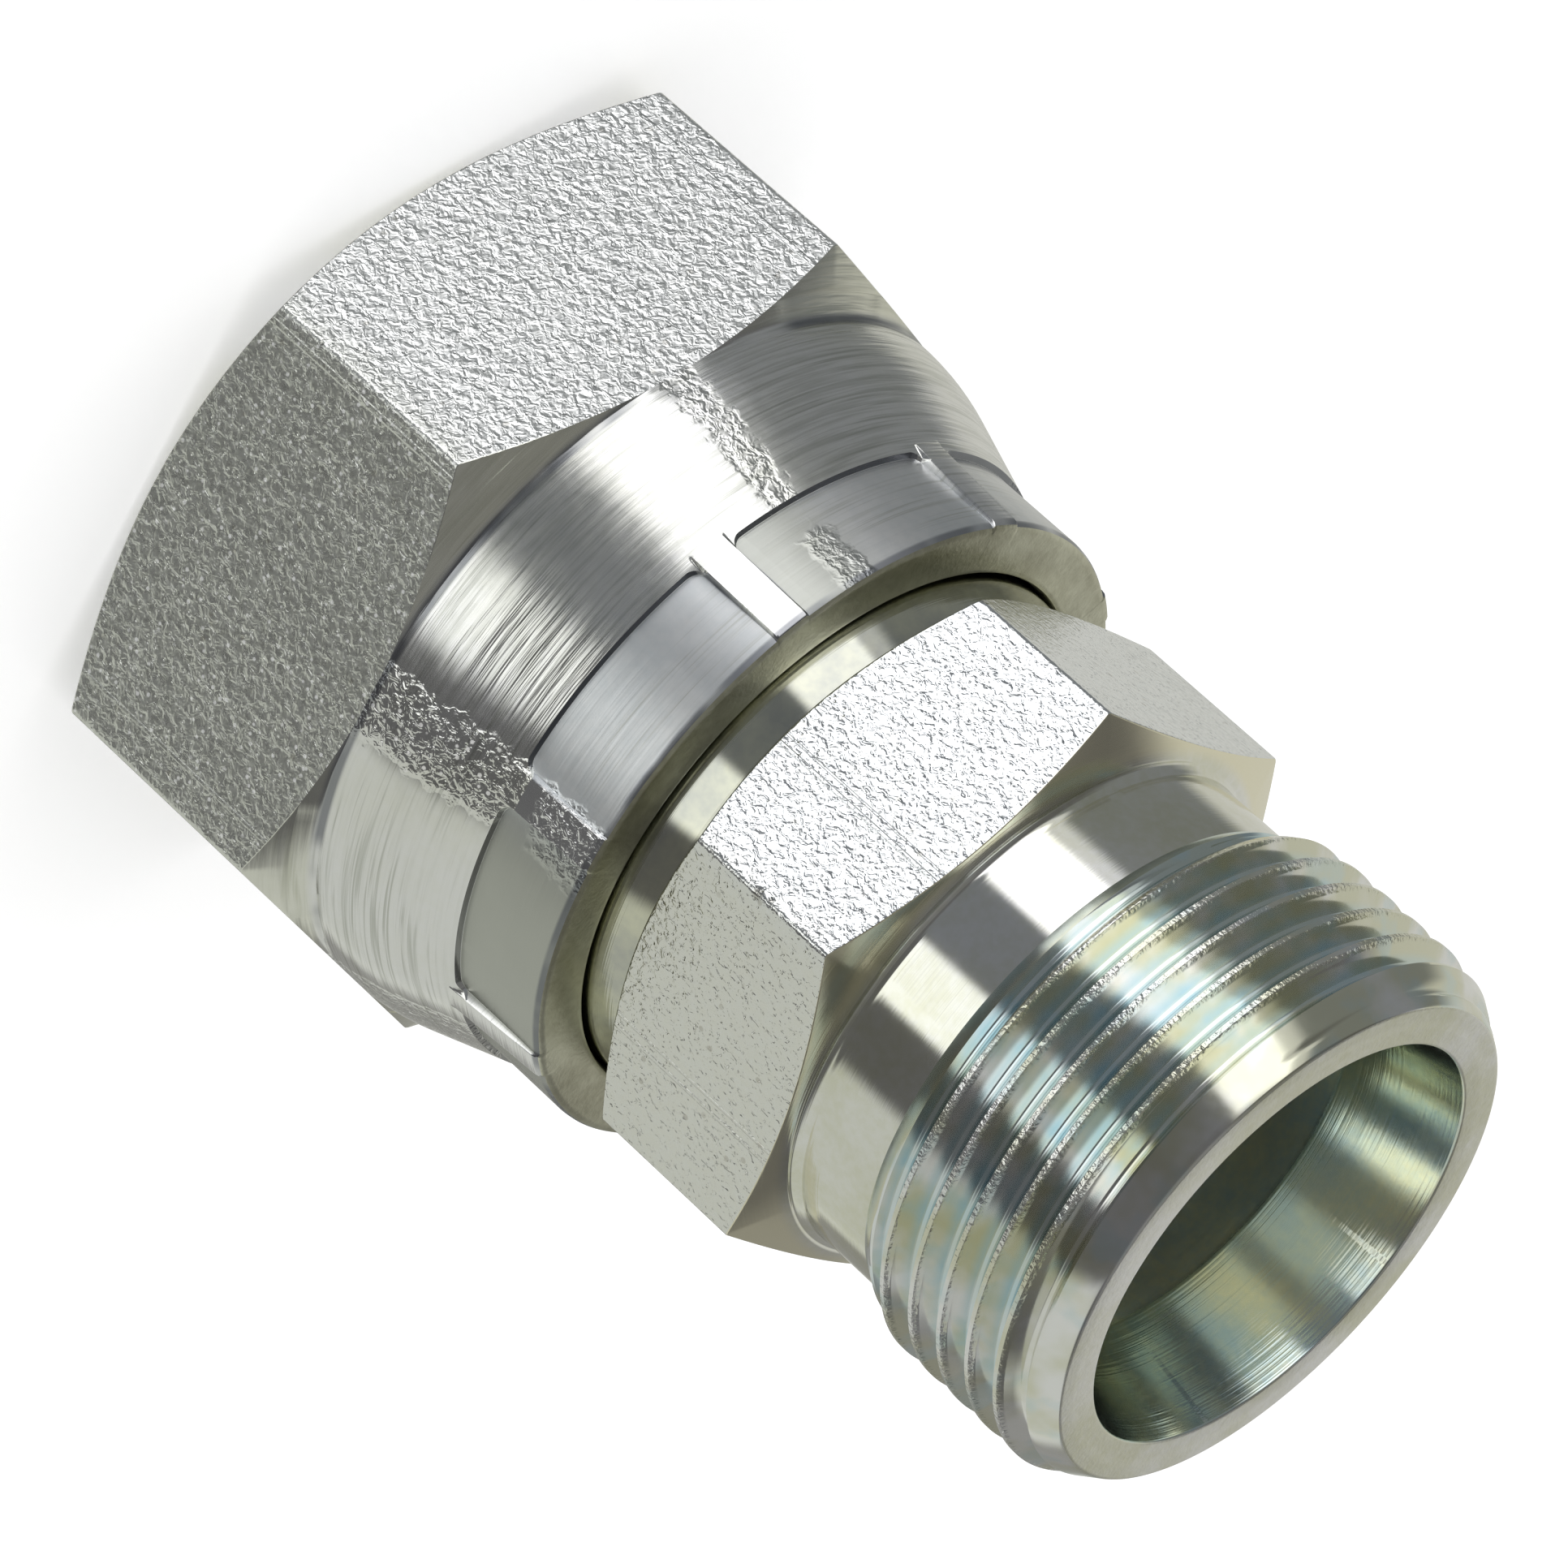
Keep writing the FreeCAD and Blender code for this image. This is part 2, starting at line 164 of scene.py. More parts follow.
class ZincColours(bpy.types.PropertyGroup):
    """Colours of the zinc plate and its clear passivation, and of the shade painted on it."""

    silver: colour("Silver", 0.80, 0.80, 0.80, "Plain zinc")
    bluish: colour("Bluish", 0.77, 0.79, 0.81, "Plain zinc with a blue tinge")
    pale_olive: colour("Pale olive", 0.75, 0.75, 0.70, "Thin passivation")
    olive: colour("Olive", 0.66, 0.66, 0.53, "Thicker passivation")
    # Painted shade: the rim's olive is darker, standing in for the dark hexagon, neck and collar that it
    # mirrors.
    painted_shade_rim_olive: colour("Rim olive", 0.40, 0.39, 0.29, "The matt rim")
    pressed: colour("Pressed", 0.64, 0.67, 0.69, "Zinc that the jaws ironed flat")
    # Dull is also painted shade on the rear neck and on the imprint between about Y -7 and -11.6 mm.
    dull: colour("Dull", 0.47, 0.48, 0.44, "Zinc that the jaws left dull")
    # Bright and grey are lit and shaded copies of the nut's bar skin: its grey side is painted shade.
    bright: colour("Bright", 0.93, 0.94, 0.94, "The brightest sides of the nut's bar skin")
    grey: colour("Grey", 0.68, 0.69, 0.64, "The dullest sides of the nut's bar skin")
    teal: colour("Teal", 0.55, 0.68, 0.72, "Bluish passivation")
    straw: colour("Straw", 0.80, 0.78, 0.58, "Yellowish passivation")
    gold: colour("Gold", 0.81, 0.77, 0.60, "Passivation on the hexagon's front chamfer")
    # Painted shade: the dark in the crease at the collar's start, on the ledges behind the imprints, along
    # their walls and on the rim's lip.
    painted_shade_colour: colour("Soot", 0.13, 0.14, 0.17, "Dark outlines behind and beside the imprints")
    brown: colour("Brown", 0.30, 0.27, 0.21, "Small specks and dents in the bar's skin")


class StudioSettings(bpy.types.PropertyGroup):
    """Camera and background."""

    lens: FloatProperty(name="Lens", description="Focal length on a 36 mm frame", default=216.55, min=1.0)
    camera_azimuth: angle("Camera azimuth", -13.5156, "Side that the camera stands on")
    camera_height: length("Camera height", 177.63, "Height of the camera")
    camera_reach: length("Camera reach", 315.146, "Distance of the camera from the axis")
    aim: FloatVectorProperty(
        name="Aim", description="Point in the middle of the frame",
        default=(-0.075 * MM, -0.313 * MM, 20.895 * MM), unit="LENGTH", precision=6,
    )
    roll: angle("Camera roll", 132.132, "Turn of the camera about its own axis")
    background: colour("Background", 1.0, 1.0, 1.0, "Floor and surroundings")


class Socket:
    """A shader value that takes part in arithmetic: every operation adds its Math node."""

    def __init__(self, tree, socket):
        self.tree = tree
        self.socket = socket

    def math(self, operation, *values):
        return self.tree.add("ShaderNodeMath", {"operation": operation}, values)

    def __add__(self, other):
        return self.math("ADD", self, other)

    def __radd__(self, other):
        return self.math("ADD", other, self)

    def __sub__(self, other):
        return self.math("SUBTRACT", self, other)

    def __rsub__(self, other):
        return self.math("SUBTRACT", other, self)

    def __mul__(self, other):
        return self.math("MULTIPLY", self, other)

    def __rmul__(self, other):
        return self.math("MULTIPLY", other, self)

    def __truediv__(self, other):
        return self.math("DIVIDE", self, other)

    def __pow__(self, other):
        return self.math("POWER", self, other)

    def __abs__(self):
        return self.math("ABSOLUTE", self)

    def above(self, low, high):
        """0 below low, 1 above high and a smooth step between them. Works downwards where low is above high."""
        return self.tree.add(
            "ShaderNodeMapRange", {"interpolation_type": "SMOOTHSTEP"},
            {"Value": self, "From Min": low, "From Max": high, "To Min": 0.0, "To Max": 1.0},
        )


class Tree:
    """Adds nodes to a material's or a world's node tree."""

    def __init__(self, node_tree):
        self.nodes = node_tree.nodes
        self.links = node_tree.links
        self.nodes.clear()

    def add(self, kind, settings=None, inputs=(), output=0):
        """A node of one kind with its settings made first; inputs are values or Sockets by place or by name."""
        node = self.nodes.new(kind)
        for name, value in (settings or {}).items():
            setattr(node, name, value)
        named = inputs.items() if isinstance(inputs, dict) else enumerate(inputs)
        for key, value in named:
            self.feed(node.inputs[key], value)
        return Socket(self, node.outputs[output]) if node.outputs else None

    def feed(self, entry, value):
        """Links a Socket to an input, or sets a plain value on it."""
        if isinstance(value, Socket):
            self.links.new(value.socket, entry)
        elif entry.type == "RGBA" and len(value) == 3:
            entry.default_value = (*value, 1.0)
        else:
            entry.default_value = value

    def vector(self, operation, *values, output=0):
        return self.add("ShaderNodeVectorMath", {"operation": operation}, values, output)

    def split(self, vector):
        """The three numbers of a vector."""
        parts = self.add("ShaderNodeSeparateXYZ", None, (vector,))
        outputs = parts.socket.node.outputs
        return tuple(Socket(self, outputs[axis]) for axis in range(3))

    def join(self, x, y, z):
        return self.add("ShaderNodeCombineXYZ", None, (x, y, z))

    def noise(self, place, scale, detail=2.0, roughness=0.5, distortion=0.0):
        """A smooth random value from about 0.2 to 0.8."""
        return self.add("ShaderNodeTexNoise", None, {
            "Vector": place, "Scale": scale, "Detail": detail, "Roughness": roughness, "Distortion": distortion,
        })

    def cells(self, place, scale):
        """Distance to the nearest of randomly scattered points, over their spacing."""
        return self.add("ShaderNodeTexVoronoi", None, {"Vector": place, "Scale": scale})

    def mix(self, share, first, second):
        """From the first colour to the second as share goes from 0 to 1."""
        node = self.add("ShaderNodeMix", {"data_type": "RGBA"}, output=2).socket.node
        colours = [entry for entry in node.inputs if entry.type == "RGBA"]
        self.feed(node.inputs[0], share)
        self.feed(colours[0], first)
        self.feed(colours[1], second)
        return Socket(self, node.outputs[2])


# The shaded point in millimetres: its place as a vector, its coordinates, its distance from the axis and its
# azimuth in radians.
Surface = namedtuple("Surface", "place x y z radius azimuth")


def surface(tree):
    """The shaded point in the object's own coordinates."""
    metres = tree.add("ShaderNodeTexCoord", None, output=3)
    place = tree.add("ShaderNodeVectorMath", {"operation": "SCALE"}, {0: metres, "Scale": 1 / MM})
    x, y, z = tree.split(place)
    return Surface(place, x, y, z, (x * x + y * y) ** 0.5, y.math("ARCTAN2", y, x))


def zinc_material(name, look, *values, **settings):
    """A zinc-plated finish.

    look(tree, surface, ...) returns the colour, the roughness, the relief in millimetres and, where there is
    any, the share of painted glints: pale burrs that aren't a mirror.
    """
    material = bpy.data.materials.new(name)
    material.use_nodes = True
    tree = Tree(material.node_tree)
    tint, roughness, relief, *painted_glint_share = look(tree, surface(tree), *values, **settings)
    bump = tree.add("ShaderNodeBump", None, {"Strength": 1.0, "Distance": MM, "Height": relief})
    shader = tree.add("ShaderNodeBsdfPrincipled", None, {
        "Base Color": tint, "Metallic": 1.0 - painted_glint_share[0] if painted_glint_share else 1.0, "Roughness": roughness, "Normal": bump,
    })
    tree.add("ShaderNodeOutputMaterial", None, {"Surface": shader})
    return material


def passivation(tree, at, first, second, scale=0.12):
    """Zinc whose tint drifts between two colours in soft patches several millimetres wide."""
    drift = tree.noise(at.place, scale, 3.0).above(0.35, 0.65)
    fine = tree.noise(at.place, 2.5, 3.0).above(0.3, 0.7)
    return tree.mix(drift * 0.75 + fine * 0.25, first, second)


def turning_marks(tree, at, along, spacing, spread=0.02):
    """Rings that a tool leaves: noise drawn out round the axis and fine along the profile."""
    rings = tree.join(at.x * spread, at.y * spread, along / spacing)
    return tree.noise(rings, 1.0, 2.0, 0.6)


def turned_look(tree, at, colours):
    """Turned and plated: a mirror with fine rings and soft tints, with the rear neck painted darker as shade
    from the rim and the hexagon.
    """
    rings = turning_marks(tree, at, at.z - at.radius * 0.4, 0.09)
    front_chamfer = at.radius.above(11.4, 12.0) * at.z.above(32.0, 33.0) * at.z.above(34.4, 34.3)
    rear_neck = at.z.above(19.0, 20.0) * at.z.above(25.4, 25.3)
    tint = passivation(tree, at, colours.silver, colours.olive)
    # Painted shade: the rear neck between the rim and the hexagon is tinted a darker olive.
    tint = tree.mix(rear_neck, tint, passivation(tree, at, colours.olive, colours.dull, 0.3))
    tint = tree.mix(front_chamfer, tint, colours.gold)
    roughness = 0.05 + 0.08 * tree.noise(at.place, 0.9, 3.0) + 0.06 * front_chamfer
    return tint, roughness, rings * 0.004


def bar_skin(tree, at, grain, depth):
    """Relief of the drawn bar's skin: a crackled grain, uneven in strength, with a few sharper pits."""
    crackle = tree.noise(at.place, 1 / grain, 2.0, 0.55, 0.6)
    strength = 0.6 + 0.8 * tree.noise(at.place, 0.35, 2.0)
    pits = tree.cells(at.place, 0.9 / grain).above(0.22, 0.05)
    return crackle * strength * depth - pits * depth * 0.35


def painted_glints(tree, at, grain):
    """Painted glints: tiny pale burrs on the bar's skin, in loose groups, that are no mirror and so show bright
    under light from all round.
    """
    groups = tree.noise(at.place, 0.9, 2.0).above(0.36, 0.52)
    return tree.cells(at.place, 0.8 / grain).above(0.24, 0.13) * groups


def die_lines(at, lines):
    """Fine lines along single faces of a drawn bar, each (azimuth and distance of the face, place, width).

    A line's share is 1 in its middle and 0 half its width away. The place across a face of azimuth a is
    y cos a - x sin a, and only points where x cos a + y sin a reaches the face's distance count.
    """
    total = 0.0
    for azimuth, reach, offset, width in lines:
        ahead, across = direction(azimuth, 0.0), direction(azimuth + 90.0, 0.0)
        place = at.x * across.x + at.y * across.y
        on_face = (at.x * ahead.x + at.y * ahead.y).above(reach - 0.2, reach - 0.1)
        total = total + abs(place - offset).above(width / 2, width / 4) * on_face
    return total


def nicks(tree, at, marks):
    """Small dents in an edge: each is (x, y, z, radius) in millimetres. 1 in their middle, 0 at their rim."""
    total = 0.0
    for x, y, z, reach in marks:
        away = tree.vector("DISTANCE", at.place, (x, y, z), output=1)
        total = total + away.above(reach, reach * 0.4)
    return total


def hexagon_look(tree, at, first, second, grain, depth, lines, roughest, split, calm, marks, dark, burrs):
    """The bar's own skin under the plate: a crackled grain that glitters, with a few drawn lines.

    The tint goes from the first colour to the second across the place split, in millimetres along Y, and the
    grain loses the share calm of its depth there; on the nut that second side is painted shade. burrs is the
    share of painted glints in full.
    """
    line = die_lines(at, lines)
    across = at.y.above(split - 1.0, split + 1.0)
    side = across * 0.8 + tree.noise(at.place, 2.5, 3.0).above(0.3, 0.7) * 0.2
    nick = nicks(tree, at, marks)
    specks = tree.cells(at.place, 1.1).above(0.17, 0.1) * tree.noise(at.place, 0.4, 2.0).above(0.45, 0.6)
    painted_glint_share = painted_glints(tree, at, grain) * (1.0 - across * 0.4) * burrs
    # From the first colour to the second across the split; on the nut the grey second side is painted shade.
    tint = tree.mix(specks * 0.35 + nick * 0.4, tree.mix(side, first, second), dark)
    # Painted glints: the specks take the first colour.
    tint = tree.mix(painted_glint_share, tint, first)
    relief = bar_skin(tree, at, grain, depth) * (1.0 - across * calm) + line * 0.02 - nick * 0.03
    return tint, roughest * (0.55 + 0.45 * tree.noise(at.place, 3.0, 2.0)), relief, painted_glint_share


def skin_strips(tree, at, turn):
    """Strips of bar skin that turning left in the middle of the nut's faces, wider towards one side."""
    from_face = at.azimuth.math("PINGPONG", at.azimuth - (turn + math.pi / 6), math.pi / 6)
    ragged = (tree.noise(at.place, 1.3, 3.0) - 0.5) * math.radians(5.0)
    return (from_face - at.y * math.radians(0.21) + ragged).above(math.radians(5.4), math.radians(4.0))


def scratches(tree, at):
    """Dull scratches that run round the axis, in groups."""
    groups = turning_marks(tree, at, at.z, 2.2, 0.12).above(0.4, 0.6)
    return turning_marks(tree, at, at.z, 0.13, 0.13).above(0.5, 0.68) * groups


def collar_look(tree, at, colours, size, grain, depth):
    """The turned and crimped collar: tool streaks, strips of bar skin with painted glints, and painted shade in
    the crease at its start and on the ledges that face up.
    """
    skin = skin_strips(tree, at, size.turn)
    streaks = turning_marks(tree, at, at.z, 0.16, 0.22)
    broad = turning_marks(tree, at, at.z, 0.7, 0.08)
    calm = at.y.above(0.0, 3.5)
    turned = (streaks * 0.032 + broad * 0.07) * (1.0 - calm * 0.7)
    relief = turned * (1.0 - skin) + bar_skin(tree, at, grain, depth) * skin
    # Painted shade: a patchy dark line along the crease where the collar leaves the chamfer.
    painted_crease_shade = abs(at.z - 13.2).above(0.3, 0.08) * tree.noise(at.place, 0.25, 2.0).above(0.35, 0.6) * 0.75
    # Painted shade on the ledges behind the imprints that face up, stronger where Y is below about 1 mm.
    facing_up = tree.split(tree.add("ShaderNodeNewGeometry", None, output=3))[2].above(0.6, 0.8)
    painted_ledge_shade = facing_up * at.z.above(18.0, 18.2) * (0.35 + at.y.above(4.0, 1.0) * 0.5)
    tint = passivation(tree, at, colours.silver, colours.pale_olive)
    tint = tree.mix(streaks.above(0.42, 0.66) * (0.45 - calm * 0.35), tint, colours.dull)
    tint = tree.mix(scratches(tree, at) * 0.75, tint, colours.dull)
    tint = tree.mix(at.radius.above(16.1, 16.4) * 0.45, tint, colours.olive)
    tint = tree.mix(painted_ledge_shade + painted_crease_shade, tint, colours.painted_shade_colour)
    roughness = 0.14 + 0.13 * tree.noise(at.place, 1.4, 3.0) - calm * 0.08
    # Painted glints on the strips of bar skin.
    return tint, roughness, relief, painted_glints(tree, at, grain) * skin * 0.8


def pressed_look(tree, at, colours, size, grain, depth):
    """The jaws' imprints: ironed flat, so they mirror softly, with painted shade along their walls and on the
    rim's lip, and rests of bar skin.
    """
    middle = size.turn + size.imprint_turn
    from_middle = at.azimuth.math("PINGPONG", at.azimuth - middle, math.pi / size.imprint_count)
    from_wall = size.imprint_width / 2 - from_middle
    inside = from_wall.above(math.radians(-0.15), math.radians(0.15))
    # Painted shade: a patchy dark line just inside the imprints' walls, fading towards the rim and on the +Y
    # side.
    faded = tree.noise(at.place, 0.5, 2.0).above(0.3, 0.6) * at.z.above(23.3, 21.5) * at.y.above(3.0, 0.0)
    painted_outline_shade = inside * from_wall.above(math.radians(0.5), math.radians(0.25)) * faded * 0.8
    # Painted shade: a patchy dark band on the rounding at the rim's outer edge.
    painted_lip_shade = at.z.above(23.3, 23.45) * tree.noise(at.place, 0.3, 2.0).above(0.3, 0.55) * 0.7
    skin = skin_strips(tree, at, size.turn) * (at.z + tree.noise(at.place, 0.6, 2.0) * 4.0).above(22.6, 23.4)
    streaks = turning_marks(tree, at, at.z, 0.11, 0.14) * 0.006 + turning_marks(tree, at, at.z, 0.5, 0.1) * 0.02
    relief = streaks * (1.0 - skin) + bar_skin(tree, at, grain, depth) * skin * 0.8
    # Dull zinc on the +Y side; between about Y -7 and -11.6 mm the dull tint is painted shade that dims the
    # main softbox's reflection on that imprint.
    dull = at.y.above(2.0, 5.5) + at.y.above(-6.8, -8.6) * at.y.above(-11.6, -9.9) * 0.85
    tint = tree.mix(dull, passivation(tree, at, colours.pressed, colours.silver, 0.1), colours.dull)
    tint = tree.mix(scratches(tree, at) * 0.55, tree.mix(inside, colours.silver, tint), colours.dull)
    tint = tree.mix(painted_outline_shade + painted_lip_shade, tint, colours.painted_shade_colour)
    roughness = 0.15 + inside * (0.17 + 0.1 * tree.noise(at.place, 0.7, 3.0)) * (1.0 - skin * 0.6)
    return tint, roughness, relief


def bore_look(tree, at, colours):
    """The cone and bores: teal and straw passivation over turning marks, rougher in the tube's socket."""
    rings = turning_marks(tree, at, at.z - at.radius * 0.4, 0.12)
    tint = passivation(tree, at, [0.92 * share for share in colours.teal], colours.straw, 0.16)
    socket = at.z.above(43.4, 43.0) * at.z.above(39.5, 39.6)
    return tint, 0.09 + 0.1 * tree.noise(at.place, 2.0, 2.0) + 0.22 * socket, rings * 0.007


def thread_look(tree, at, colours):
    """The rolled thread: a mirror with olive flanks, bluish roots and burrs along its crests."""
    olive = tree.noise(at.place, 0.3, 3.0).above(0.36, 0.6)
    root = at.radius.above(11.6, 11.2) * at.z.above(46.4, 46.2)
    blue = root * 0.55 + tree.noise(at.place, 0.5, 2.0).above(0.5, 0.66) * 0.45
    burrs = tree.noise(at.place, 5.0, 3.0) * at.radius.above(11.75, 11.98)
    tint = tree.mix(blue, tree.mix(olive, colours.silver, colours.olive), colours.teal)
    return tint, 0.07 + 0.1 * tree.noise(at.place, 2.0, 2.0), burrs * 0.05


def face_look(tree, at, first, second, roughness):
    """The matt end faces and rim, in two tints."""
    tint = passivation(tree, at, first, second, 0.2)
    return tint, roughness + 0.1 * tree.noise(at.place, 4.0, 2.0), tree.noise(at.place, 6.0, 3.0) * 0.012


def unit(vectors):
    """Vectors of length one; a vector of no length stays as it is."""
    return vectors / np.maximum(np.linalg.norm(vectors, axis=-1, keepdims=True), 1e-12)


def profile_rows(corners, angles, steps=4):
    """Rows of points round the axis from a profile of (radius, height, softness, finish) corners.

    Radius and height are numbers or one value per angle. A corner becomes the curve
    start (1 - t)^2 + corner 2t (1 - t) + end t^2, whose ends lie on its two legs at the corner's softness,
    or at 45 percent of a shorter leg. finish is the number of the material from that corner on.
    """
    flat = np.array([
        np.stack([np.broadcast_to(radius, angles.shape), np.broadcast_to(height, angles.shape)], axis=-1)
        for radius, height, softness, finish in corners
    ])
    rows = [flat[0]]
    finishes = [corners[0][3]]
    for index in range(1, len(corners) - 1):
        before, corner, after = flat[index - 1], flat[index], flat[index + 1]
        shorter = np.minimum(
            np.linalg.norm(corner - before, axis=-1), np.linalg.norm(after - corner, axis=-1)
        )
        reach = np.minimum(corners[index][2], 0.45 * shorter)[:, None]
        start = corner - unit(corner - before) * reach
        end = corner + unit(after - corner) * reach
        count = steps if corners[index][2] > 0 else 0
        for t in np.linspace(0, 1, count + 1) if count else (0.0,):
            rows.append(start * (1 - t) ** 2 + corner * 2 * t * (1 - t) + end * t ** 2)
            finishes.append(corners[index - 1][3] if count and t < 0.5 else corners[index][3])
    rows.append(flat[-1])
    return around(np.array(rows), angles), np.array(finishes)


def around(rows, angles):
    """Points x = r cos a, y = r sin a, z = h from rows of (radius, height)."""
    return np.stack([rows[..., 0] * np.cos(angles), rows[..., 0] * np.sin(angles), rows[..., 1]], axis=-1)


def climbing_rows(angles, start, end, pitch, offsets, radius_at, finish):
    """Rows of points that climb by one pitch a turn, held between two heights.

    Row height = turn number x pitch + offset + pitch x angle / 360 degrees; radius_at gives the radius from
    the angle and the height, so that crests and roots lie along rows and the ends fade out in it.
    """
    turns = np.arange(math.floor(start / pitch) - 2, math.ceil(end / pitch) + 2)
    heights = (turns[:, None] * pitch + offsets[None, :]).ravel()[:, None] + pitch * angles / math.tau
    inside = (heights.max(axis=1) > start) & (heights.min(axis=1) < end)
    first, last = np.flatnonzero(inside)[[0, -1]]
    heights = np.clip(heights[max(first - 1, 0):last + 2], start, end)
    rows = np.stack([radius_at(angles, heights), heights], axis=-1)
    return around(rows, angles), np.full(len(rows) - 1, finish)


def thread_form(across, pitch, crest, depth, root_radius):
    """How far a 60 degree thread lies below its crest, for a distance across the thread from a crest's middle.

    Flat crest, then flank = (distance - crest / 2) / tan 30, then a round root of the given radius.
    """
    distance = np.abs((across / pitch + 0.5) % 1.0 - 0.5) * pitch
    flank = (distance - crest / 2) / math.tan(math.radians(30))
    from_root = np.clip(pitch / 2 - distance, 0, root_radius)
    root = depth - root_radius + np.sqrt(root_radius ** 2 - from_root ** 2)
    return np.clip(np.minimum(flank, root), 0, depth)


def thread_offsets(pitch, crest, steps=4):
    """Row places within one pitch: the crest's flat, the flanks and the round root."""
    half = np.concatenate([
        [0.0, crest * 0.36, crest * 0.5, crest * 0.64],
        np.linspace(crest * 0.5, pitch * 0.37, steps)[1:],
        np.linspace(pitch * 0.37, pitch * 0.5, steps)[1:],
    ])
    return np.concatenate([-half[:0:-1], half])[1:]


def hexagon_radius(angles, apothem, rounding):
    """Distance to a rounded hexagon with a corner at angle 0.

    apothem / cos(angle from the face's middle), and near a corner the circle of the rounding, whose centre
    lies on the corner's direction at (apothem - rounding) / cos 30.
    """
    from_corner = (angles + math.pi / 6) % (math.pi / 3) - math.pi / 6
    straight = apothem / np.cos(math.pi / 6 - np.abs(from_corner))
    centre = (apothem - rounding) / math.cos(math.pi / 6)
    half = hexagon_corner_angle(apothem, rounding)
    near = np.clip(np.abs(from_corner), 0, half)
    circle = centre * np.cos(near) + np.sqrt(rounding ** 2 - (centre * np.sin(near)) ** 2)
    return np.where(np.abs(from_corner) < half, circle, straight)


def hexagon_corner_angle(apothem, rounding):
    """Half the angle, seen from the axis, that a hexagon's corner rounding takes."""
    return math.pi / 6 - math.atan((apothem - rounding) * math.tan(math.pi / 6) / apothem)


def angles_round(turn, close_places, count=360):
    """Angles of one full turn, evenly spaced, with closer ones at the given places; both ends are included."""
    even = np.linspace(0, math.tau, count, endpoint=False)
    places = np.sort(np.concatenate([even, np.mod(close_places, math.tau)]))
    spaced = places[np.concatenate([[True], np.diff(places) > 1e-5])]
    return turn + np.concatenate([spaced, [spaced[0] + math.tau]])


def near_corners(apothem, rounding, steps=7):
    """Closer angles across the six corner roundings."""
    half = hexagon_corner_angle(apothem, rounding)
    return (np.arange(6)[:, None] * math.pi / 3 + np.linspace(-half, half, steps)[None, :]).ravel()


def weld(name, grids, materials):
    """One closed mesh from grids of points (rows, columns, 3) that share their borders, welded together."""
    places, faces, finishes = [], [], []
    offset = 0
    for points, row_finish in grids:
        rows, columns = points.shape[:2]
        corner = offset + np.arange(rows * columns).reshape(rows, columns)
        quads = np.stack([corner[:-1, :-1], corner[:-1, 1:], corner[1:, 1:], corner[1:, :-1]], axis=-1)
        places.append(points.reshape(-1, 3))
        faces.append(quads.reshape(-1, 4))
        finishes.append(np.repeat(row_finish, columns - 1))
        offset += rows * columns
    mesh = bpy.data.meshes.new(name)
    mesh.from_pydata(np.concatenate(places), [], np.concatenate(faces))
    mesh.polygons.foreach_set("material_index", np.concatenate(finishes).astype(np.int32))
    for material in materials:
        mesh.materials.append(material)
    shell = bmesh.new()
    shell.from_mesh(mesh)
    bmesh.ops.remove_doubles(shell, verts=shell.verts, dist=2e-6)
    bmesh.ops.dissolve_degenerate(shell, edges=shell.edges, dist=1e-6)
    bmesh.ops.recalc_face_normals(shell, faces=shell.faces)
    shell.to_mesh(mesh)
    shell.free()
    mesh.shade_smooth()
    mesh.set_sharp_from_angle(angle=math.radians(28))
    piece = bpy.data.objects.new(name, mesh)
    bpy.context.scene.collection.objects.link(piece)
    even = piece.modifiers.new("Even shading", "WEIGHTED_NORMAL")
    even.keep_sharp = True
    return piece


def dress(piece, node):
    """Puts a piece in its node's place: it moves with the node's body, and the node's own part is hidden."""
    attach(piece, node)
    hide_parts(node)


# Numbers of the finishes: both pieces share the first four, and each has its own after them.
TURNED, FLATS, FACE, BORE, THREAD = range(5)
PRESSED, COLLAR, RIM = range(4, 7)

# Lines that the drawing die left: azimuth and distance of the face, place across it and width, in degrees
# and mm.
BODY_LINES = ((-30, 12, 1.75, 0.12), (-30, 12, 2.15, 0.2), (30, 12, 2.3, 0.14), (30, 12, 2.8, 0.2))
NUT_LINES = ((-46.4, 16, -7.8, 0.25), (13.6, 16, -8.6, 0.3), (13.6, 16, 7.6, 0.2))

# Dents in the corners of the hexagons: place and radius in mm.
BODY_NICKS = ((13.75, 0.0, 29.7, 0.3), (13.7, -0.1, 30.3, 0.2), (6.8, -12.0, 26.6, 0.25))
NUT_NICKS = ((17.8, -5.25, 7.4, 0.2), (17.75, -5.2, 4.1, 0.15))


def shared_finishes(colours, **skin):
    """The four finishes that both pieces have, in their order; skin describes the hexagon's faces."""
    return [
        zinc_material("Turned zinc", turned_look, colours),
        zinc_material("Bar skin zinc", hexagon_look, dark=colours.brown, **skin),
        zinc_material("Matt face zinc", face_look, colours.silver, colours.olive, 0.3),
        zinc_material("Bore zinc", bore_look, colours),
    ]


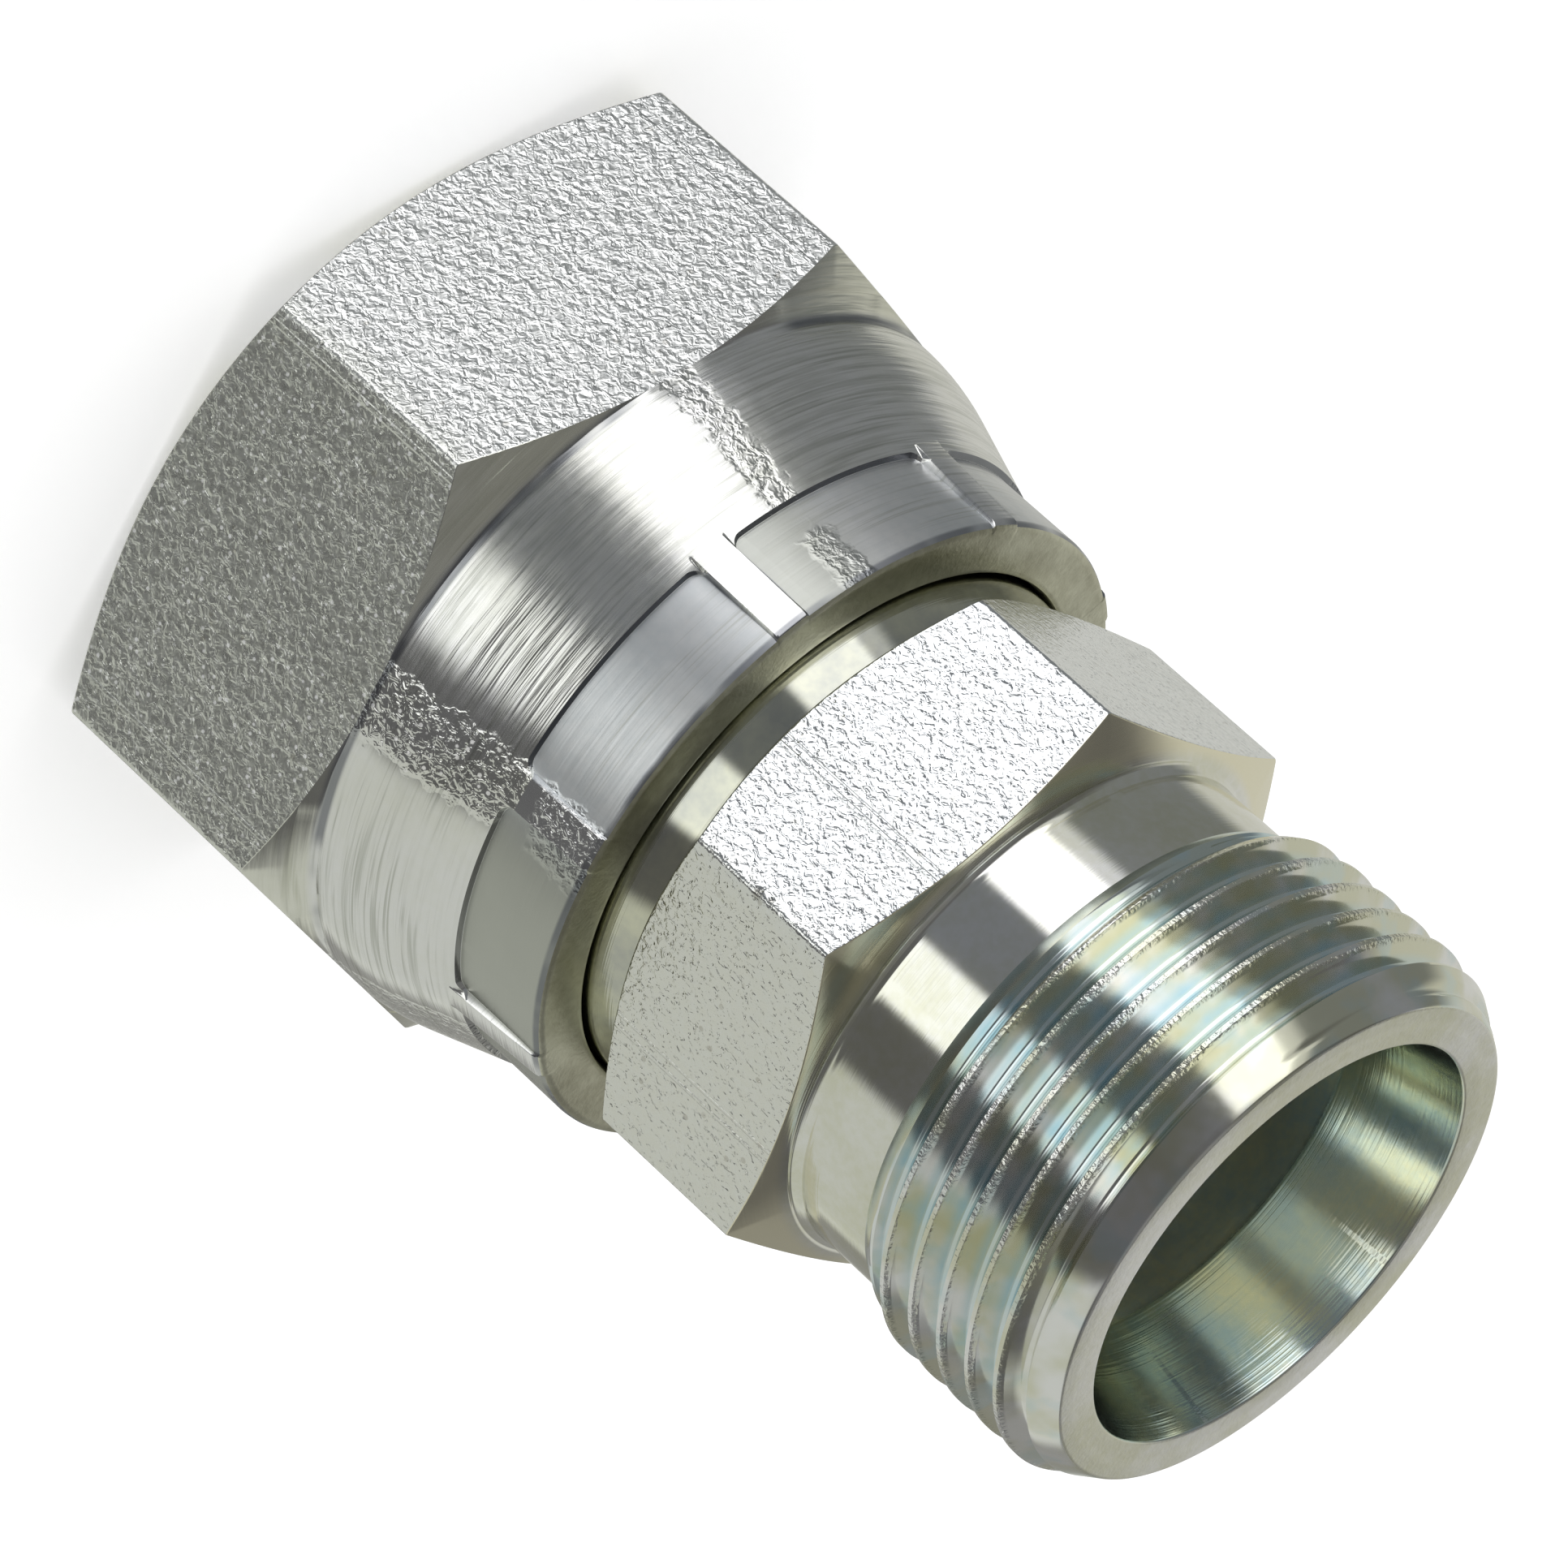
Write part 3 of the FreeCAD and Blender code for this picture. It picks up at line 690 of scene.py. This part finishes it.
def body_outside(size, angles, low, lead_start):
    """From the seat's mouth over the head, rear neck and hexagon to the undercut."""
    hexagon = hexagon_radius(angles, size.hexagon_width / 2, size.hexagon_corner)
    front = size.hexagon_back + size.hexagon_length
    shoulder_start = low + size.head_length
    shoulder = size.head / 2 - size.shoulder_length * math.tan(size.shoulder_slope)
    shoulder_end = shoulder_start + size.shoulder_length
    neck = size.rear_neck / 2
    back_corner = size.hexagon_back + (hexagon - size.back_face / 2) * math.tan(size.back_slope)
    front_corner = front - (hexagon - size.front_face / 2) * math.tan(size.front_slope)
    return profile_rows([
        (size.seat_mouth / 2 + 0.8 * MM, low, 0, FACE),
        (size.head / 2, low, 0.2 * MM, TURNED),
        (size.head / 2, shoulder_start, 0.2 * MM, TURNED),
        (shoulder, shoulder_end, 0.3 * MM, TURNED),
        (neck, shoulder_end + shoulder - neck, 0.3 * MM, TURNED),
        (neck, size.hexagon_back - size.taper_length, 0.25 * MM, TURNED),
        (neck - size.taper_length * math.tan(size.taper_slope), size.hexagon_back, 0.05 * MM, TURNED),
        (size.back_face / 2, size.hexagon_back, 0.05 * MM, TURNED),
        (hexagon, back_corner, 0.08 * MM, FLATS),
        (hexagon, front_corner, 0.08 * MM, TURNED),
        (size.front_face / 2, front, 0.06 * MM, TURNED),
        (size.undercut / 2 + size.neck_fillet, front, 0.05 * MM, TURNED),
        (size.undercut / 2, front + size.neck_fillet, size.neck_fillet * 0.7, TURNED),
        (size.undercut / 2, lead_start, 0, TURNED),
    ], angles)


# A metric external thread's depth and root radius, as shares of its pitch.
METRIC_DEPTH, METRIC_ROOT = 0.6134, 0.144


def body_thread(size, angles, top, lead_start, chamfer_stop):
    """The male thread: its form, cut back by the lead cone, the front chamfer and the undercut."""
    outside = size.thread / 2
    depth = METRIC_DEPTH * size.pitch
    chamfer_slope = (outside - size.end_face / 2) / size.end_chamfer

    def radius_at(turned, height):
        across = height - size.pitch * (turned + size.thread_turn) / math.tau
        form = outside - thread_form(across, size.pitch, size.crest, depth, METRIC_ROOT * size.pitch)
        lead = size.undercut / 2 + (height - lead_start) * math.tan(size.lead_slope)
        chamfer = size.end_face / 2 + (top - height) * chamfer_slope
        return np.minimum(np.minimum(form, lead), chamfer)

    offsets = thread_offsets(size.pitch, size.crest) + size.pitch * size.thread_turn / math.tau
    return climbing_rows(angles, lead_start, chamfer_stop, size.pitch, offsets, radius_at, THREAD)


def body_inside(size, angles, low, top, chamfer_stop):
    """From the front chamfer over the end face, down the cone, socket and bores to the flared seat."""
    chamfer_slope = (size.thread / 2 - size.end_face / 2) / size.end_chamfer
    cone_end = top - (size.cone_mouth - size.tube_bore) / 2 / math.tan(size.cone_slope)
    rear_end = low + size.rear_bore_length
    point = (size.rear_bore - size.flow_bore) / 2 / math.tan(math.radians(59))
    seat_end = low + (size.seat_mouth - size.rear_bore) / 2 / math.tan(size.seat_slope)
    return profile_rows([
        (size.end_face / 2 + (top - chamfer_stop) * chamfer_slope, chamfer_stop, 0, THREAD),
        (size.end_face / 2, top, 0.12 * MM, FACE),
        (size.cone_mouth / 2, top, 0.12 * MM, BORE),
        (size.tube_bore / 2, cone_end, 0.1 * MM, BORE),
        (size.tube_bore / 2, top - size.tube_stop, 0.1 * MM, BORE),
        (size.flow_bore / 2, top - size.tube_stop, 0.2 * MM, BORE),
        (size.flow_bore / 2, rear_end + point, 0.2 * MM, BORE),
        (size.rear_bore / 2, rear_end, 0.2 * MM, BORE),
        (size.rear_bore / 2, seat_end, 0.3 * MM, BORE),
        (size.seat_mouth / 2, low, 0.15 * MM, FACE),
        (size.seat_mouth / 2 + 0.8 * MM, low, 0, FACE),
    ], angles)


class FITTING_OT_turned_body(bpy.types.Operator):
    """Make the body: head, necks, hexagon, male thread and bores in one closed surface"""

    bl_idname = "fitting.turned_body"
    bl_label = "Make the body"

    def execute(self, context):
        size = context.scene.adapter_body
        low, top = BODY_LOW.z, BODY_HIGH.z
        angles = angles_round(0.0, near_corners(size.hexagon_width / 2, size.hexagon_corner))
        lead_start = size.hexagon_back + size.hexagon_length + size.undercut_length
        chamfer_stop = top - 0.3 * MM
        colours = context.scene.adapter_colours
        finishes = shared_finishes(
            colours, first=colours.bluish, second=colours.pale_olive, grain=0.3, depth=0.044, lines=BODY_LINES,
            roughest=0.2, split=0.0, calm=-0.8, marks=BODY_NICKS, burrs=0.12,
        )
        piece = weld("adapter_body", [
            body_outside(size, angles, low, lead_start),
            body_thread(size, angles, top, lead_start, chamfer_stop),
            body_inside(size, angles, low, top, chamfer_stop),
        ], finishes + [zinc_material("Thread zinc", thread_look, colours)])
        dress(piece, "fitting_body")
        return {"FINISHED"}


def from_imprint_wall(size, angles):
    """Angle from the nearest wall of an imprint: positive inside the imprint, negative on a rib."""
    pitch = math.tau / size.imprint_count
    from_middle = np.abs((angles - size.turn - size.imprint_turn + pitch / 2) % pitch - pitch / 2)
    return size.imprint_width / 2 - from_middle


def near_imprints(size):
    """Closer angles across the walls of the imprints and along their rounded corners."""
    middles = size.imprint_turn + np.arange(size.imprint_count) * math.tau / size.imprint_count
    inwards = np.radians([-0.6, -0.22, -0.1, 0.1, 0.22, 0.4, 0.7, 1.0, 1.4, 1.9, 2.4])
    walls = np.concatenate([-size.imprint_width / 2 + inwards, size.imprint_width / 2 - inwards])
    return (middles[:, None] + walls[None, :]).ravel()


def nut_outside(size, angles, top):
    """From the open end over the hexagon and the crimped collar to the rim.

    The ribs leave the slope at their own height and almost run out at the rim. An imprint's back edge moves
    towards the rim near its side walls by c - sqrt(c^2 - (c - d)^2), a corner of radius c at the distance d
    from the wall.
    """
    hexagon = hexagon_radius(angles - size.turn, size.width / 2, size.corner)
    inside = from_imprint_wall(size, angles)
    pressed = np.clip(inside / math.radians(0.35) + 0.5, 0, 1)
    chamfer = math.tan(size.chamfer_slope)
    slope = math.tan(size.crimp_slope)
    collar = size.collar / 2
    bend_radius = collar - size.bend * (1 - math.cos(size.crimp_slope))
    bend_height = size.collar_start + size.bend * math.sin(size.crimp_slope)
    ring = np.minimum(size.chamfer_ring / 2, hexagon)
    ring_depth = np.clip((hexagon - size.chamfer_ring / 2) / (0.2 * MM), 0, 1) * size.ring_depth

    def slope_height(radius):
        return bend_height + (bend_radius - radius) / slope

    def chamfer_height(radius):
        return size.collar_start - np.maximum(radius - collar, 0) * chamfer

    rib, rib_rim, imprint = size.rib / 2, size.rib_rim / 2, size.imprint / 2
    edge = imprint + size.imprint_step
    rib_start = slope_height(rib)

    def rib_at(height):
        return rib + (rib_rim - rib) * (height - rib_start) / (top - size.rim_edge - rib_start)

    into_corner = np.clip(size.imprint_corner - np.maximum(inside, 0) * imprint, 0, size.imprint_corner)
    rounding = size.imprint_corner - np.sqrt(size.imprint_corner ** 2 - into_corner ** 2)
    step_height = slope_height(edge) + rounding
    rib_here = rib_at(step_height)
    behind = np.minimum(bend_radius - (step_height - bend_height) * slope, rib_here)
    corners = [
        (size.mouth / 2 + 0.5 * MM, 0.0, 0, FACE),
        (size.face / 2, 0.0, 0.08 * MM, TURNED),
        (hexagon, (hexagon - size.face / 2) * chamfer, 0.06 * MM, FLATS),
        (hexagon, chamfer_height(hexagon), 0.06 * MM, COLLAR),
        (ring, chamfer_height(ring), 0, COLLAR),
        (ring - ring_depth * 0.5, chamfer_height(ring) - ring_depth, 0, COLLAR),
        (np.minimum(collar, hexagon), size.collar_start, 0.28 * MM, COLLAR),
    ]
    for share in np.linspace(0.15, 1.0, 7):
        lean = size.crimp_slope * share
        radius = collar - size.bend * (1 - math.cos(lean))
        corners.append((np.minimum(radius, hexagon), size.collar_start + size.bend * math.sin(lean), 0, COLLAR))
    corners += [
        (rib, rib_start, 0.1 * MM, COLLAR),
        (rib_here + (behind - rib_here) * pressed, step_height, 0.02 * MM, COLLAR),
        (rib_here + (imprint - rib_here) * pressed, step_height + 0.05 * MM, 0.03 * MM, PRESSED),
        (rib_rim + (imprint - rib_rim) * pressed, top, size.rim_edge, RIM),
        (size.rim_bore / 2, top, 0.3 * MM, RIM),
        (size.rim_bore / 2, top - 1.0 * MM, 0, BORE),
    ]
    return profile_rows(corners, angles)


def nut_inside(size, angles, top):
    """From the rim's hole down to the end of the female thread."""
    closing = (size.chamber - size.rim_bore) / 2 / math.tan(size.crimp_slope)
    return profile_rows([
        (size.rim_bore / 2, top - 1.0 * MM, 0, BORE),
        (size.rim_bore / 2, size.chamber_end + closing, 0.3 * MM, BORE),
        (size.chamber / 2, size.chamber_end, 0.3 * MM, BORE),
        (size.chamber / 2, size.thread_end, 0, BORE),
    ], angles)


def nut_thread(size, angles, mouth_start):
    """The female thread: its form, opened up by the countersink and by a cone into the chamber."""
    depth = (size.root - size.bore) / 2
    crest = size.pitch / 4

    def radius_at(turned, height):
        across = height - size.pitch * turned / math.tau
        form = size.bore / 2 + thread_form(across, size.pitch, crest, depth, 0.1 * size.pitch)
        countersink = size.mouth / 2 - height
        exit_cone = size.chamber / 2 - (size.thread_end - height) * math.tan(math.radians(60))
        return np.maximum(np.maximum(form, countersink), exit_cone)

    offsets = thread_offsets(size.pitch, crest)
    return climbing_rows(angles, mouth_start, size.thread_end, size.pitch, offsets, radius_at, BORE)


def nut_mouth(size, angles, mouth_start):
    """The start of the countersink and the flat open end."""
    return profile_rows([
        (size.mouth / 2 - mouth_start, mouth_start, 0, BORE),
        (size.mouth / 2, 0.0, 0.05 * MM, FACE),
        (size.mouth / 2 + 0.5 * MM, 0.0, 0, FACE),
    ], angles)


class FITTING_OT_swivel_nut(bpy.types.Operator):
    """Make the swivel nut: hexagon, crimped collar with its imprints, rim and female thread"""

    bl_idname = "fitting.swivel_nut"
    bl_label = "Make the swivel nut"

    def execute(self, context):
        size = context.scene.adapter_nut
        top = NUT_HIGH.z
        mouth_start = 0.15 * MM
        close = np.concatenate([near_corners(size.width / 2, size.corner), near_imprints(size)])
        angles = angles_round(size.turn, close)
        colours = context.scene.adapter_colours
        # On the nut's hexagon the grey side is painted shade.
        finishes = shared_finishes(
            colours, first=colours.bright, second=colours.grey, grain=0.36, depth=0.09, lines=NUT_LINES,
            # burrs: the share of painted glints on the nut's hexagon.
            roughest=0.36, split=-5.5, calm=0.25, marks=NUT_NICKS, burrs=0.9,
        )
        piece = weld("crimped_swivel_nut", [
            nut_outside(size, angles, top),
            nut_inside(size, angles, top),
            nut_thread(size, angles, mouth_start),
            nut_mouth(size, angles, mouth_start),
        ], finishes + [
            zinc_material("Pressed zinc", pressed_look, colours, size, 0.36, 0.08),
            zinc_material("Collar zinc", collar_look, colours, size, 0.36, 0.08),
            # The rim's darker olive is painted shade.
            zinc_material("Rim zinc", face_look, colours.painted_shade_rim_olive, colours.olive, 0.3),
        ])
        dress(piece, "swivel_nut")
        return {"FINISHED"}


def direction(azimuth, elevation):
    """The unit vector that points to an azimuth and an elevation, both in degrees."""
    a, e = math.radians(azimuth), math.radians(elevation)
    return Vector((math.cos(a) * math.cos(e), math.sin(a) * math.cos(e), math.sin(e)))


# How much whiter the camera sees the floor; no other ray meets this glow.
FLOOR_GLOW = 0.3


def make_floor(settings):
    """A large pale floor that keeps the adapter's soft shadow."""
    mesh = bpy.data.meshes.new("floor")
    reach = 3.0
    corners = [(-reach, -reach, 0), (reach, -reach, 0), (reach, reach, 0), (-reach, reach, 0)]
    mesh.from_pydata(corners, [], [(0, 1, 2, 3)])
    floor = bpy.data.objects.new("floor", mesh)
    bpy.context.scene.collection.objects.link(floor)
    material = bpy.data.materials.new("Pale floor")
    material.use_nodes = True
    tree = Tree(material.node_tree)
    seen = tree.add("ShaderNodeLightPath", None, output=0)
    paint = tree.add("ShaderNodeBsdfDiffuse", None, {"Color": tuple(settings.background)})
    glow = tree.add("ShaderNodeEmission", None, {"Color": (1.0, 1.0, 1.0), "Strength": seen * FLOOR_GLOW})
    both = tree.add("ShaderNodeAddShader", None, (paint, glow))
    tree.add("ShaderNodeOutputMaterial", None, {"Surface": both})
    mesh.materials.append(material)
    floor.visible_glossy = False
    return floor


# What the metal mirrors: azimuth, half width, lowest and highest elevation and softness of the sides in
# degrees, and brightness over the studio's dark walls as red, green, blue.
STUDIO_PANELS = {
    "main softbox": (-57.0, 15.0, -60.0, 45.0, 2.2, (1.6, 1.6, 1.6)),
    "softbox glow": (-76.0, 5.0, -60.0, 45.0, 3.5, (0.60, 0.60, 0.60)),
    "small softbox": (5.0, 13.5, -60.0, 10.0, 2.2, (0.45, 0.46, 0.44)),
    "small softbox, middle": (5.0, 13.5, -30.0, 10.0, 2.2, (0.80, 0.81, 0.80)),
    "pale wall": (89.0, 39.0, -70.0, 40.0, 4.0, (0.49, 0.505, 0.46)),
    "back wall": (185.0, 27.0, -70.0, 36.0, 7.0, (0.52, 0.52, 0.47)),
    "dim wall": (142.0, 17.0, -70.0, 30.0, 7.0, (0.18, 0.18, 0.16)),
    "grey wall": (-112.0, 36.0, -70.0, 40.0, 5.0, (0.09, 0.10, 0.10)),
    "blue wall": (-26.0, 16.0, -70.0, 40.0, 3.0, (0.06, 0.07, 0.08)),
}
DARK_WALLS = (0.13, 0.13, 0.13)
CEILING = (0.10, 0.10, 0.09)
# Half the height over which a panel's upper and lower edges fade, in degrees.
PANEL_FADE = 6.0
# The light that everything but a mirror gets, from all round.
SOFT_LIGHT = (0.85, 0.85, 0.85)


def rises(z, low, high):
    """The share that goes from 0 to 1 between two elevations in degrees; z is the direction's own height."""
    return z.above(math.sin(math.radians(low)), math.sin(math.radians(high)))


def light_world():
    """Soft light from all round; the metal mirrors a dark studio with softboxes and pale walls."""
    world = bpy.data.worlds.new("Studio")
    world.use_nodes = True
    tree = Tree(world.node_tree)
    ray = tree.add("ShaderNodeTexCoord", None, output=0)
    x, y, z = tree.split(ray)
    top = rises(z, 50, 75)
    ceiling = tree.vector("MULTIPLY", tree.join(*CEILING), tree.join(top, top, top))
    level = tree.vector("ADD", ceiling, tree.join(*DARK_WALLS))
    for azimuth, half_width, lowest, highest, softness, strength in STUDIO_PANELS.values():
        ahead, across = direction(azimuth, 0.0), direction(azimuth + 90.0, 0.0)
        turned = z.math("ARCTAN2", x * across.x + y * across.y, x * ahead.x + y * ahead.y)
        reach, soft = math.radians(half_width), math.radians(softness)
        beside = abs(turned).above(reach + soft, reach - soft)
        over = rises(z, highest + PANEL_FADE, highest - PANEL_FADE)
        under = rises(z, lowest - PANEL_FADE, lowest + PANEL_FADE)
        share = beside * over * under
        panel = tree.vector("MULTIPLY", tree.join(*strength), tree.join(share, share, share))
        level = tree.vector("ADD", level, panel)
    mirrored = tree.add("ShaderNodeLightPath", None, output=3)
    shown = tree.mix(mirrored, SOFT_LIGHT, level)
    glow = tree.add("ShaderNodeBackground", None, {"Color": shown, "Strength": 1.0})
    tree.add("ShaderNodeOutputWorld", None, {"Surface": glow})
    bpy.context.scene.world = world


def place_camera(settings):
    """The photograph's camera: it looks at the aim from its side and height, and is rolled about its axis."""
    camera = bpy.data.objects.new("camera", bpy.data.cameras.new("camera"))
    bpy.context.scene.collection.objects.link(camera)
    camera.data.sensor_width = 36.0
    camera.data.lens = settings.lens
    camera.data.clip_start = 0.01
    reach, azimuth = settings.camera_reach, settings.camera_azimuth
    camera.location = (reach * math.cos(azimuth), reach * math.sin(azimuth), settings.camera_height)
    look = (Vector(settings.aim) - camera.location).to_track_quat("-Z", "Y")
    camera.rotation_mode = "QUATERNION"
    camera.rotation_quaternion = look @ Quaternion((0, 0, 1), settings.roll)
    bpy.context.scene.camera = camera


class FITTING_OT_studio(bpy.types.Operator):
    """Set up the floor, the light and the photograph's camera"""

    bl_idname = "fitting.studio"
    bl_label = "Set up the studio"

    def execute(self, context):
        settings = context.scene.adapter_studio
        make_floor(settings)
        light_world()
        place_camera(settings)
        context.scene.view_settings.view_transform = "Standard"
        return {"FINISHED"}


class FITTING_PT_panel(bpy.types.Panel):
    """Sizes, colours and steps of the adapter"""

    bl_idname = "FITTING_PT_panel"
    bl_label = "Hydraulic adapter"
    bl_space_type = "VIEW_3D"
    bl_region_type = "UI"
    bl_category = "Adapter"

    def draw(self, context):
        layout = self.layout
        for operator in STEPS:
            layout.operator(operator.bl_idname)
        for label, group in GROUPS.items():
            box = layout.box()
            box.label(text=group.__doc__)
            for name in group.__annotations__:
                box.prop(getattr(context.scene, label), name)


STEPS = (FITTING_OT_turned_body, FITTING_OT_swivel_nut, FITTING_OT_studio)
GROUPS = {
    "adapter_body": BodySizes,
    "adapter_nut": NutSizes,
    "adapter_colours": ZincColours,
    "adapter_studio": StudioSettings,
}


def register():
    """Makes the sizes, steps and panel known to Blender."""
    for member in (*GROUPS.values(), *STEPS, FITTING_PT_panel):
        bpy.utils.register_class(member)
    for label, group in GROUPS.items():
        setattr(bpy.types.Scene, label, PointerProperty(type=group))


def unregister():
    """Takes back what register did."""
    for label in GROUPS:
        delattr(bpy.types.Scene, label)
    for member in reversed((*GROUPS.values(), *STEPS, FITTING_PT_panel)):
        bpy.utils.unregister_class(member)


def main():
    """Makes each piece and the studio."""
    register()
    for operator in STEPS:
        group, step = operator.bl_idname.split(".")
        getattr(getattr(bpy.ops, group), step)()


if __name__ == "__main__":
    main()
